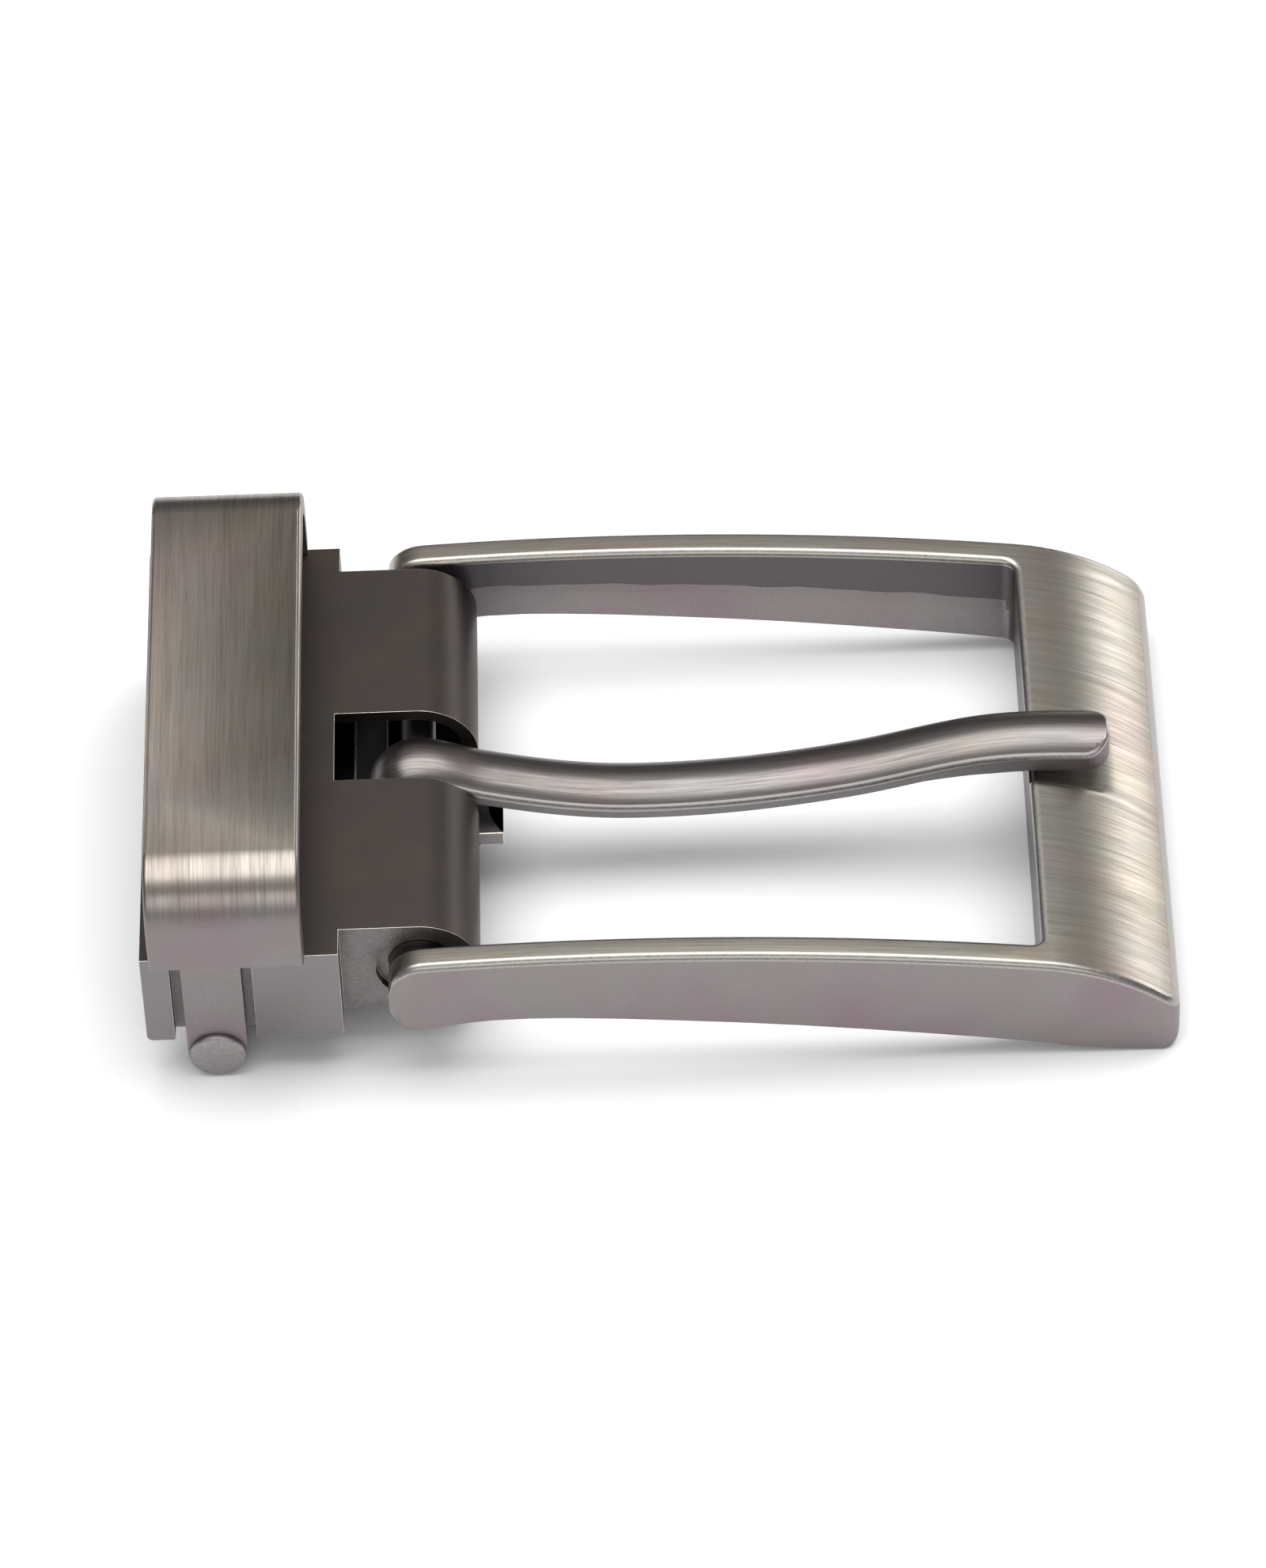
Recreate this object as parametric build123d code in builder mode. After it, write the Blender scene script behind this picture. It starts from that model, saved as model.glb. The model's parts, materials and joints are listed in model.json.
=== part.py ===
"""Clamp-on belt buckle for a 35 mm strap: frame, tongue, strap clamp and keeper loop.

The long axis is X, with the frame at +X and the clamp at -X. The hinge pins lie along Y and
+Z is up. The origin is on the floor at the middle of the length. Millimetres throughout.
"""

import os
from math import cos, radians, sin

from build123d import *

os.makedirs("parts", exist_ok=True)

# ---- strap and fits ----
strap_width = 35.0
strap_side_room = 0.3        # free space beside the strap inside the clamp
running_fit = 0.06           # radial clearance of every pin that turns in a hole
seat_fit = 0.02              # radial clearance of a pin pressed into its hole

# ---- clamp housing, from the hinge axis ----
housing_rear = 19.3
tab_thickness = 2.02         # side tab beside the strap
cheek_step = 2.34            # the cheeks stand this far inside the tabs' outer faces
cheek_rear = 5.46            # step between the wide and the narrow part
cheek_thickness = 1.3
nose_radius = 4.31           # also the height of the top plate
plate_thickness = 0.9
tab_drop = 4.05              # tabs reach this far below the hinge axis
cheek_drop = 3.95
web_thickness = 1.1
nose_wrap_angle = 20.0       # the nose curls this far past level
slot_side_room = 0.95        # beside the tongue in its slot
slot_rear = 5.8
rear_tab_length = 2.0
front_tab_length = 6.1
leg_channel_depth = 1.2
tab_corner_radius = 0.5

# ---- buckle frame, heights and lengths from the hinge axis ----
arm_side_gap = 1.17          # between cheek and arm
arm_width = 2.15
window_length = 43.5         # hinge axis to the window's far wall
bar_length = 9.7             # end bar along X
frame_top = 4.0              # crest of the arms
crest_x = 12.0
arm_arch_radius = 216.0
bar_arch_radius = 17.0
arm_rear = 1.95              # arm beyond the hinge axis
arm_end_flat = (-1.0, 0.8)   # upright part of the arm's end, lowest and highest point
arm_end_low = (-1.5, -2.35)
arm_end_top = (-1.1, 2.75)
arm_top_start = 0.6
arm_heel = (-0.4, -2.96)
arm_underside = ((31.4, -4.55), (22.6, -3.4), (14.0, -2.55), (7.5, -2.2), (3.2, -2.45))
bar_belly_setback = 13.2     # where the underside leaves the bar, from the bar's end
bar_belly_rise = 1.7         # and its height over the floor
bar_sole_setback = 6.7
bar_sole_rise = 0.45
foot_radius = 1.0
frame_corner_radius = 1.2
window_corner_radius = 0.8
frame_edge_radius = 0.35
notch_side_room = 0.85       # beside the tongue at the top of its seat
notch_floor_room = 0.4
notch_depth = 0.35
notch_length = 4.9

# ---- hinge of the frame ----
hinge_rod_radius = 1.25
boss_wall = 0.87
boss_end_recess = 0.05       # boss end behind the cheek's inner face
hole_lip_room = 0.93         # round the boss in the wide mouth of each cheek's hole
hole_lip_depth = 0.7
rod_end_wall = 1.2           # metal left in the arm past the rod's end

# ---- tongue ----
tongue_width = 4.6
tongue_height = 2.6
tongue_edge_radius = 0.8
tongue_gauge = 2.2           # wall of the curled eye
tongue_overhang = 5.8        # tip past the window's far wall
tongue_tip_radius = 1.9
tongue_rest_gap = 0.05
tongue_neck = (4.6, 0.75)    # points of the blade's middle line
tongue_dip = (15.0, -1.15)
tongue_rise_setback = 12.5   # from the window's far wall
tongue_rise_height = 0.35
tongue_land_setback = 3.0
tongue_land_drop = 0.1
tongue_tip_drop = 0.15

# ---- keeper loop and its rod ----
keeper_length = 10.8
keeper_setback = 0.7         # loop starts this far inside the housing's rear edge
keeper_side_stand = 0.98     # loop past the tabs' outer faces
keeper_height = 12.0         # top of the loop above the hinge axis
keeper_crown = 0.3
keeper_thickness = 1.5
keeper_bend_radius = 4.4
keeper_edge_radius = 0.3
shoulder_gap = 0.03          # under the loop's shoulders, over the plate
leg_width = 4.2
leg_thickness = 1.1
leg_gap = 0.15               # between the leg and the floor of its channel
keeper_rod_x = 14.4          # behind the hinge axis
keeper_rod_drop = 5.5        # below the hinge axis
keeper_rod_radius = 1.1
rod_head_radius = 2.0
rod_head_height = 0.5
rod_head_crown = 0.2

# ---- clamp flap ----
flap_thickness = 1.0
flap_side_room = 0.4
knuckle_wall = 0.8
flap_top_drop = 1.6          # gripping face below the hinge axis
flap_neck_top = 2.6          # neck between knuckle and plate, in front of the rod's axis
flap_neck_low = 3.4
flap_clearance = 0.3
tooth_count = 9
tooth_pitch = 3.4
tooth_width = 2.2
tooth_height = 1.4
tooth_length = 1.8
tooth_root = 0.1             # tooth starts this far inside the plate
tooth_x = 9.0                # behind the hinge axis
apron_bend_top = 4.6         # where the plate turns down, behind the hinge axis
apron_bend_low = 5.2
apron_rear = 2.4             # level part under the hinge, behind its axis
apron_front = 3.9            # and in front of it, short of the nose
latch_side_room = 0.2        # beside the lip in the housing's slot
latch_eye_gap = 0.416        # lip's root in front of the tongue's eye
latch_top_drop = 2.0
latch_thickness = 1.2
latch_length = 2.7
latch_scoop = 1.05
latch_point = 0.1            # flat left at each end of the scoop
latch_root_fall = 0.6
latch_root_slope = 0.9       # the lip's rear face leans back this far to the apron
latch_root_top = 0.5
latch_root_low = 1.1

# ---- places that follow from the sizes ----
tab_inner_y = strap_width / 2 + strap_side_room
tab_outer_y = tab_inner_y + tab_thickness
cheek_outer_y = tab_outer_y - cheek_step
cheek_inner_y = cheek_outer_y - cheek_thickness
channel_y = tab_outer_y - leg_channel_depth
arm_inner_y = cheek_outer_y + arm_side_gap
frame_width = 2 * (arm_inner_y + arm_width)
frame_reach = window_length + bar_length
keeper_width = 2 * (tab_outer_y + keeper_side_stand)
leg_inner_y = channel_y + leg_gap
leg_outer_y = leg_inner_y + leg_thickness
hinge_x = (housing_rear - frame_reach) / 2
hinge_z = keeper_rod_drop + leg_width / 2
floor_drop = hinge_z
boss_radius = hinge_rod_radius + boss_wall
boss_end_y = cheek_inner_y + boss_end_recess
hole_lip_radius = boss_radius + hole_lip_room
hinge_rod_half_length = frame_width / 2 - rod_end_wall
plate_underside = nose_radius - plate_thickness
cheek_low_x = (nose_radius**2 - cheek_drop**2) ** 0.5
eye_radius = hinge_rod_radius + running_fit + tongue_gauge
slot_width = tongue_width + 2 * slot_side_room
notch_half_width = tongue_width / 2 + notch_side_room
notch_floor_half_width = tongue_width / 2 + notch_floor_room
tongue_tip_x = window_length + tongue_overhang
lug_radius = keeper_rod_radius + running_fit + knuckle_wall
knuckle_radius = lug_radius
channel_x = -(housing_rear - rear_tab_length + cheek_rear + front_tab_length) / 2
channel_length = housing_rear - rear_tab_length - cheek_rear - front_tab_length
flap_half_width = tab_inner_y - flap_side_room
flap_front_half_width = cheek_inner_y - flap_side_room
flap_swing_radius = keeper_rod_x - cheek_rear - web_thickness - flap_clearance
flap_swing_rise = keeper_rod_drop - flap_top_drop
flap_front_x = -keeper_rod_x + (flap_swing_radius**2 - flap_swing_rise**2) ** 0.5
apron_top_drop = eye_radius + flap_clearance
latch_half_width = slot_width / 2 - latch_side_room
latch_root_x = (eye_radius**2 - latch_top_drop**2) ** 0.5 + latch_eye_gap
latch_tip_x = latch_root_x + latch_length
latch_notch_x = latch_tip_x - latch_scoop
scoop_half_width = latch_half_width - latch_point

side = Plane(origin=(hinge_x, 0, hinge_z), x_dir=(1, 0, 0), z_dir=(0, -1, 0))
floor_plan = Plane(origin=(hinge_x, 0, 0))
tall = 60.0


def side_at(y):
    """Side plane whose extrusions run from y towards +Y."""
    return Plane(origin=(hinge_x, y, hinge_z), x_dir=(1, 0, 0), z_dir=(0, -1, 0))


def arm_top(x):
    """Height of the arched frame top above the hinge axis."""
    return frame_top - (x - crest_x) ** 2 / (2 * arm_arch_radius)


window_top = arm_top(window_length)
arch_slope = (window_length - crest_x) / arm_arch_radius
bar_centre = (
    window_length - bar_arch_radius * arch_slope,
    window_top - bar_arch_radius * (1 - arch_slope**2) ** 0.5,
)
bar_end_dx = frame_reach - bar_centre[0]
bar_end_top = bar_centre[1] + (bar_arch_radius**2 - bar_end_dx**2) ** 0.5
bar_mid_dx = (window_length + frame_reach) / 2 - bar_centre[0]
bar_mid_top = bar_centre[1] + (bar_arch_radius**2 - bar_mid_dx**2) ** 0.5
notch_exit_dx = window_length + notch_length - bar_centre[0]
notch_exit_top = bar_centre[1] + (bar_arch_radius**2 - notch_exit_dx**2) ** 0.5

# ---- buckle frame: two arched arms and a sloping end bar, one casting ----
with BuildPart() as buckle_frame:
    with BuildSketch(side):
        with BuildLine():
            ThreePointArc(
                (arm_top_start, arm_top(arm_top_start)),
                (window_length / 2, arm_top(window_length / 2)),
                (window_length, window_top),
            )
            ThreePointArc(
                (window_length, window_top),
                ((window_length + frame_reach) / 2, bar_mid_top),
                (frame_reach, bar_end_top),
            )
            Line((frame_reach, bar_end_top), (frame_reach, foot_radius - floor_drop))
            ThreePointArc(
                (frame_reach, foot_radius - floor_drop),
                (frame_reach - foot_radius / 3, foot_radius / 3 - floor_drop),
                (frame_reach - foot_radius, -floor_drop),
            )
            Spline(
                (frame_reach - foot_radius, -floor_drop),
                (frame_reach - bar_sole_setback, bar_sole_rise - floor_drop),
                (frame_reach - bar_belly_setback, bar_belly_rise - floor_drop),
                *arm_underside,
                arm_heel,
                tangents=((-1, 0), (-1, -0.1)),
            )
            Spline(
                arm_heel,
                arm_end_low,
                (-arm_rear, arm_end_flat[0]),
                tangents=((-1, -0.05), (0, 1)),
            )
            Line((-arm_rear, arm_end_flat[0]), (-arm_rear, arm_end_flat[1]))
            Spline(
                (-arm_rear, arm_end_flat[1]),
                arm_end_top,
                (arm_top_start, arm_top(arm_top_start)),
                tangents=((0, 1), (1, 0.05)),
            )
        make_face()
    extrude(amount=frame_width / 2, both=True)
    with BuildSketch(floor_plan):
        with Locations(((frame_reach - arm_rear) / 2, 0)):
            plan_outline = Rectangle(frame_reach + arm_rear, frame_width)
        fillet(plan_outline.vertices().sort_by(Axis.X)[-2:], frame_corner_radius)
        with BuildSketch(mode=Mode.PRIVATE) as window:
            with Locations((window_length / 2 - tall / 2, 0)):
                Rectangle(window_length + tall, 2 * arm_inner_y)
            fillet(window.vertices().sort_by(Axis.X)[-2:], window_corner_radius)
        add(window.sketch, mode=Mode.SUBTRACT)
    extrude(amount=tall, mode=Mode.INTERSECT)
    frame_rim = buckle_frame.edges().filter_by(
        lambda edge: edge.center().Z > hinge_z + bar_end_top - foot_radius / 2
        and edge.bounding_box().size.Z < 0.8 * edge.length
        and edge.length > frame_edge_radius
    )
    fillet(frame_rim, frame_edge_radius)
    # Shallow seat for the tongue, fading out along the sloping bar.
    with BuildSketch(Plane.YZ.offset(hinge_x + window_length - window_corner_radius)):
        with BuildLine():
            Polyline(
                (-notch_half_width, hinge_z + window_top + notch_depth),
                (-notch_half_width, hinge_z + window_top),
                (-notch_floor_half_width, hinge_z + window_top - notch_depth),
                (notch_floor_half_width, hinge_z + window_top - notch_depth),
                (notch_half_width, hinge_z + window_top),
                (notch_half_width, hinge_z + window_top + notch_depth),
                close=True,
            )
        make_face()
    extrude(
        amount=notch_length + window_corner_radius,
        dir=(notch_length, 0, notch_exit_top - (window_top - notch_depth)),
        mode=Mode.SUBTRACT,
    )
    # Bosses on the inner faces turn in the housing's cheeks and hold the rod's ends.
    for hand in (-1, 1):
        with BuildSketch(side_at(hand * boss_end_y)):
            Circle(boss_radius)
        extrude(amount=-hand * (arm_inner_y + arm_width / 2 - boss_end_y))
    with BuildSketch(side):
        Circle(hinge_rod_radius + seat_fit)
    extrude(amount=hinge_rod_half_length, both=True, mode=Mode.SUBTRACT)
buckle_frame.part.label = "buckle_frame"
export_step(buckle_frame.part, "parts/buckle_frame.step")

# ---- hinge rod: steel pin across the frame, seated in the two blind bosses ----
with BuildPart() as hinge_rod:
    with BuildSketch(side):
        Circle(hinge_rod_radius)
    extrude(amount=hinge_rod_half_length - seat_fit, both=True)
    chamfer(hinge_rod.edges().filter_by(GeomType.CIRCLE), hinge_rod_radius / 5)
hinge_rod.part.label = "hinge_rod"
export_step(hinge_rod.part, "parts/hinge_rod.step")

# ---- tongue: crowned blade with its root curled round the rod ----
tongue_mid_at_bar = window_top - notch_depth + tongue_rest_gap + tongue_height / 2
with BuildPart() as tongue:
    with BuildSketch(side_at(tongue_width / 2)):
        with BuildLine() as tongue_line:
            Spline(
                (0, eye_radius - tongue_height / 2),
                tongue_neck,
                tongue_dip,
                (window_length - tongue_rise_setback, tongue_rise_height),
                (window_length - tongue_land_setback, tongue_mid_at_bar - tongue_land_drop),
                (tongue_tip_x + tongue_edge_radius, tongue_mid_at_bar - tongue_tip_drop),
                tangents=((1, -0.1), (1, -0.05)),
            )
        trace(tongue_line.line, line_width=tongue_height)
    extrude(amount=tongue_width)
    with BuildSketch(floor_plan):
        with Locations((tongue_tip_x / 2, 0)):
            tongue_plan = Rectangle(tongue_tip_x, tongue_width)
        fillet(tongue_plan.vertices().sort_by(Axis.X)[-2:], tongue_tip_radius)
    extrude(amount=tall, mode=Mode.INTERSECT)
    with BuildSketch(side_at(tongue_width / 2)):
        Circle(eye_radius)
    extrude(amount=tongue_width)
    tongue_rims = tongue.edges().filter_by(
        lambda edge: abs(edge.center().Y) > tongue_width / 2 - tongue_tip_radius
        and edge.length > tongue_height / 2
        and edge.bounding_box().size.X > tongue_edge_radius / 2
    )
    fillet(tongue_rims, tongue_edge_radius)
    with BuildSketch(side_at(tongue_width)):
        Circle(hinge_rod_radius + running_fit)
    extrude(amount=2 * tongue_width, mode=Mode.SUBTRACT)
tongue.part.label = "tongue"
export_step(tongue.part, "parts/tongue.step")

# ---- housing shell: plate, curled nose, side tabs, cheeks and rod lugs, one casting ----
nose_low = (
    nose_radius * cos(radians(nose_wrap_angle)),
    -nose_radius * sin(radians(nose_wrap_angle)),
)
nose_diagonal = nose_radius * sin(radians(45))
nose_inner_diagonal = plate_underside * sin(radians(45))
nose_inner_low = (
    plate_underside * cos(radians(nose_wrap_angle)),
    -plate_underside * sin(radians(nose_wrap_angle)),
)
with BuildPart() as housing_shell:
    # Plate that curls down into the round nose.
    with BuildSketch(side):
        with BuildLine():
            Line((-housing_rear, nose_radius), (0, nose_radius))
            ThreePointArc((0, nose_radius), (nose_diagonal, nose_diagonal), nose_low)
            Line(nose_low, nose_inner_low)
            ThreePointArc(nose_inner_low, (nose_inner_diagonal, nose_inner_diagonal), (0, plate_underside))
            Line((0, plate_underside), (-housing_rear, plate_underside))
            Line((-housing_rear, plate_underside), (-housing_rear, nose_radius))
        make_face()
    extrude(amount=cheek_outer_y, both=True)
    with BuildSketch(side):
        with Locations((-(housing_rear + cheek_rear) / 2, (nose_radius + plate_underside) / 2)):
            Rectangle(housing_rear - cheek_rear, plate_thickness)
    extrude(amount=tab_outer_y, both=True)
    for hand in (-1, 1):
        # Side tab, with the lug behind the keeper's leg reaching down to the rod.
        with BuildSketch(side_at(hand * tab_inner_y)):
            with Locations((-(housing_rear + cheek_rear) / 2, (nose_radius - tab_drop) / 2)):
                tab_outline = Rectangle(housing_rear - cheek_rear, nose_radius + tab_drop)
            fillet(tab_outline.vertices().group_by(Axis.Z)[0], tab_corner_radius)
        extrude(amount=-hand * (tab_outer_y - tab_inner_y))
        with BuildSketch(side_at(hand * tab_inner_y)):
            with BuildLine():
                Polyline(
                    (-keeper_rod_x - leg_width / 2, -tab_drop + tab_corner_radius),
                    (-keeper_rod_x - lug_radius, -keeper_rod_drop),
                    (-keeper_rod_x + lug_radius, -keeper_rod_drop),
                    (-keeper_rod_x + leg_width / 2, -tab_drop + tab_corner_radius),
                    close=True,
                )
            make_face()
            with Locations((-keeper_rod_x, -keeper_rod_drop)):
                Circle(lug_radius)
        extrude(amount=-hand * (channel_y - tab_inner_y))
        # Cheek beside the hinge, joined to the tab by a short web.
        with BuildSketch(side_at(hand * cheek_inner_y)):
            with BuildLine():
                Line((-cheek_rear - web_thickness, nose_radius), (0, nose_radius))
                ThreePointArc((0, nose_radius), (nose_radius, 0), (cheek_low_x, -cheek_drop))
                Line((cheek_low_x, -cheek_drop), (-cheek_rear - web_thickness, -cheek_drop))
                Line((-cheek_rear - web_thickness, -cheek_drop), (-cheek_rear - web_thickness, nose_radius))
            make_face()
        extrude(amount=-hand * cheek_thickness)
        with BuildSketch(side_at(hand * cheek_inner_y)):
            with Locations((-cheek_rear - web_thickness / 2, (nose_radius - cheek_drop) / 2)):
                Rectangle(web_thickness, nose_radius + cheek_drop)
        extrude(amount=-hand * (tab_outer_y - cheek_inner_y))
        # Wide mouth of the hole outside, running land inside.
        with BuildSketch(side_at(hand * (cheek_outer_y - hole_lip_depth))):
            Circle(hole_lip_radius)
        extrude(amount=-hand * arm_width, mode=Mode.SUBTRACT)
        # Channel for the keeper's leg, open at the side, top and bottom.
        with BuildSketch(side_at(hand * channel_y)):
            with Locations((channel_x, 0)):
                Rectangle(channel_length, tall)
        extrude(amount=-hand * (leg_channel_depth + arm_width), mode=Mode.SUBTRACT)
    with BuildSketch(side):
        Circle(boss_radius + running_fit)
    extrude(amount=tall, both=True, mode=Mode.SUBTRACT)
    with BuildSketch(side):
        with Locations((-keeper_rod_x, -keeper_rod_drop)):
            Circle(keeper_rod_radius + running_fit)
    extrude(amount=tall, both=True, mode=Mode.SUBTRACT)
    # Slot for the tongue, from the plate right through the nose.
    with BuildSketch(floor_plan):
        with Locations(((tall - slot_rear) / 2, 0)):
            Rectangle(tall + slot_rear, slot_width)
    extrude(amount=tall, mode=Mode.SUBTRACT)
housing_shell.part.label = "housing_shell"
export_step(housing_shell.part, "parts/housing_shell.step")

# ---- clamp flap: toothed plate hinged on the keeper rod, with a lip under the nose ----
with BuildPart() as clamp_flap:
    with BuildSketch(side):
        with BuildLine():
            Polyline(
                (-keeper_rod_x - knuckle_radius / 2, -keeper_rod_drop + knuckle_radius / 2),
                (-keeper_rod_x + flap_neck_top, -flap_top_drop),
                (flap_front_x, -flap_top_drop),
                (flap_front_x, -flap_top_drop - flap_thickness),
                (-keeper_rod_x + flap_neck_low, -flap_top_drop - flap_thickness),
                (-keeper_rod_x + knuckle_radius, -keeper_rod_drop),
                close=True,
            )
        make_face()
        with Locations((-keeper_rod_x, -keeper_rod_drop)):
            Circle(knuckle_radius)
    extrude(amount=flap_half_width, both=True)
    # Narrower apron that dips under the hinge rod and the tongue's eye.
    with BuildSketch(side):
        with BuildLine():
            Polyline(
                (flap_front_x - flap_thickness, -flap_top_drop),
                (-apron_bend_top, -flap_top_drop),
                (-apron_rear, -apron_top_drop),
                (apron_front, -apron_top_drop),
                (apron_front, -apron_top_drop - flap_thickness),
                (-apron_rear - flap_thickness / 2, -apron_top_drop - flap_thickness),
                (-apron_bend_low, -flap_top_drop - flap_thickness),
                (flap_front_x - flap_thickness, -flap_top_drop - flap_thickness),
                close=True,
            )
        make_face()
    extrude(amount=flap_front_half_width, both=True)
    # Latch lip: rises in front of the eye and points forward through the slot.
    with BuildSketch(side):
        with BuildLine():
            Polyline(
                (latch_root_x - latch_root_slope, -apron_top_drop),
                (latch_root_x, -latch_top_drop - latch_root_fall),
                (latch_root_x + latch_root_top, -latch_top_drop),
                (latch_tip_x, -latch_top_drop),
                (latch_tip_x, -latch_top_drop - latch_thickness),
                (latch_root_x + latch_root_low, -latch_top_drop - latch_thickness),
                (apron_front, -apron_top_drop),
                (apron_front, -apron_top_drop - flap_thickness),
                (latch_root_x - latch_root_slope, -apron_top_drop - flap_thickness),
                close=True,
            )
        make_face()
    extrude(amount=latch_half_width, both=True)
    # Scooped front edge of the lip, which leaves the two corners as thumb points.
    with BuildSketch(floor_plan):
        with BuildLine():
            ThreePointArc(
                (latch_tip_x, -scoop_half_width),
                (latch_notch_x, 0),
                (latch_tip_x, scoop_half_width),
            )
            Polyline(
                (latch_tip_x, scoop_half_width),
                (latch_tip_x + latch_scoop, scoop_half_width),
                (latch_tip_x + latch_scoop, -scoop_half_width),
                (latch_tip_x, -scoop_half_width),
            )
        make_face()
    extrude(amount=tall, mode=Mode.SUBTRACT)
    # Row of teeth that bite the strap.
    with BuildSketch(side_at(-(tooth_count - 1) / 2 * tooth_pitch + tooth_width / 2)) as tooth_profile:
        with BuildLine():
            Polyline(
                (-tooth_x - tooth_length / 2, -flap_top_drop - tooth_root),
                (-tooth_x + tooth_length / 2, -flap_top_drop - tooth_root),
                (-tooth_x + tooth_length / 4, -flap_top_drop + tooth_height),
                close=True,
            )
        make_face()
    for index in range(tooth_count):
        with BuildSketch(side_at((index - (tooth_count - 1) / 2) * tooth_pitch + tooth_width / 2)):
            add(tooth_profile.sketch_local)
        extrude(amount=tooth_width)
    with BuildSketch(side):
        with Locations((-keeper_rod_x, -keeper_rod_drop)):
            Circle(keeper_rod_radius + running_fit)
    extrude(amount=tall, both=True, mode=Mode.SUBTRACT)
clamp_flap.part.label = "clamp_flap"
export_step(clamp_flap.part, "parts/clamp_flap.step")

# ---- keeper loop: bent band over the plate, with two legs down to its rod ----
keeper_plan = Plane.YZ.offset(hinge_x - housing_rear + keeper_setback)
shoulder_z = hinge_z + nose_radius + shoulder_gap
keeper_side_z = hinge_z + keeper_height - keeper_crown


def band_outline(inset):
    """Arched band face, inset from the outer one by the given amount."""
    half_width = keeper_width / 2 - inset
    with BuildSketch(keeper_plan, mode=Mode.PRIVATE) as band:
        with BuildLine():
            Line((half_width, shoulder_z), (-half_width, shoulder_z))
            Line((-half_width, shoulder_z), (-half_width, keeper_side_z - inset))
            ThreePointArc(
                (-half_width, keeper_side_z - inset),
                (0, keeper_side_z + keeper_crown - inset),
                (half_width, keeper_side_z - inset),
            )
            Line((half_width, keeper_side_z - inset), (half_width, shoulder_z))
        make_face()
        fillet(band.vertices().sort_by(Axis.Y)[-2:], keeper_bend_radius - inset)
    return band.sketch.faces()[0]


with BuildPart() as keeper_loop:
    extrude(band_outline(0), amount=keeper_length)
    fillet(
        keeper_loop.edges().filter_by(
            lambda edge: edge.center().Z > shoulder_z + keeper_edge_radius
            and edge.bounding_box().size.X < keeper_edge_radius
        ),
        keeper_edge_radius,
    )
    extrude(band_outline(keeper_thickness), amount=keeper_length, mode=Mode.SUBTRACT)
    for hand in (-1, 1):
        with BuildSketch(side_at(hand * leg_inner_y)):
            with Locations((-keeper_rod_x, -keeper_rod_drop)):
                Circle(leg_width / 2)
            with Locations((-keeper_rod_x, (shoulder_z - hinge_z - keeper_rod_drop) / 2)):
                Rectangle(leg_width, shoulder_z - hinge_z + keeper_rod_drop)
            with Locations((-keeper_rod_x, -keeper_rod_drop)):
                Circle(keeper_rod_radius + seat_fit, mode=Mode.SUBTRACT)
        extrude(amount=-hand * leg_thickness)
        with BuildSketch(side_at(hand * leg_inner_y)):
            with Locations((-keeper_rod_x, shoulder_z - hinge_z + keeper_thickness / 2)):
                Rectangle(leg_width, keeper_thickness)
        extrude(amount=-hand * (keeper_width / 2 - leg_inner_y - keeper_thickness / 2))
keeper_loop.part.label = "keeper_loop"
export_step(keeper_loop.part, "parts/keeper_loop.step")

# ---- keeper rod: pin through both legs, lugs and the flap's knuckle, riveted heads ----
with BuildPart() as keeper_rod:
    with BuildSketch(side):
        with Locations((-keeper_rod_x, -keeper_rod_drop)):
            Circle(keeper_rod_radius)
    extrude(amount=leg_outer_y + seat_fit, both=True)
    for hand in (-1, 1):
        with BuildSketch(side_at(hand * (leg_outer_y + seat_fit))):
            with Locations((-keeper_rod_x, -keeper_rod_drop)):
                Circle(rod_head_radius)
        extrude(amount=-hand * rod_head_height)
    head_rims = keeper_rod.edges().filter_by(GeomType.CIRCLE).filter_by(
        lambda edge: abs(edge.center().Y) > leg_outer_y + rod_head_height / 2
    )
    fillet(head_rims, rod_head_crown)
keeper_rod.part.label = "keeper_rod"
export_step(keeper_rod.part, "parts/keeper_rod.step")
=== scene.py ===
import json
from math import cos, pi, radians, sin, sqrt

import bmesh
import bpy
from mathutils import Matrix, Vector


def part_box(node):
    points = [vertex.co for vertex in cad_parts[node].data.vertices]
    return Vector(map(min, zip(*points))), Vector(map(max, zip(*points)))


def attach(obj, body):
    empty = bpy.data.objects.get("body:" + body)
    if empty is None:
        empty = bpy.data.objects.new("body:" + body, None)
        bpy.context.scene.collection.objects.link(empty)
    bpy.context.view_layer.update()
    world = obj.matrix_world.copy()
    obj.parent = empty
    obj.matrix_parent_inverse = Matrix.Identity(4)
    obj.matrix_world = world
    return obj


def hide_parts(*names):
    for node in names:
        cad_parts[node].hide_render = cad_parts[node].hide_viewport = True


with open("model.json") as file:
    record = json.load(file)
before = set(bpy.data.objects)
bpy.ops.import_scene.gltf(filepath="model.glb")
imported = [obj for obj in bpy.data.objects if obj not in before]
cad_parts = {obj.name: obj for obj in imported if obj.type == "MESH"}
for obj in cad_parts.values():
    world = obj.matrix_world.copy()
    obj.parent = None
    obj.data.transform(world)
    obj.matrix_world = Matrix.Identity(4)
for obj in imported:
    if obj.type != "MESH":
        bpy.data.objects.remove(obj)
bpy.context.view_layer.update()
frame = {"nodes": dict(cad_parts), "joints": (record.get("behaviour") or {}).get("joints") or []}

MM = 0.001


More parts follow.
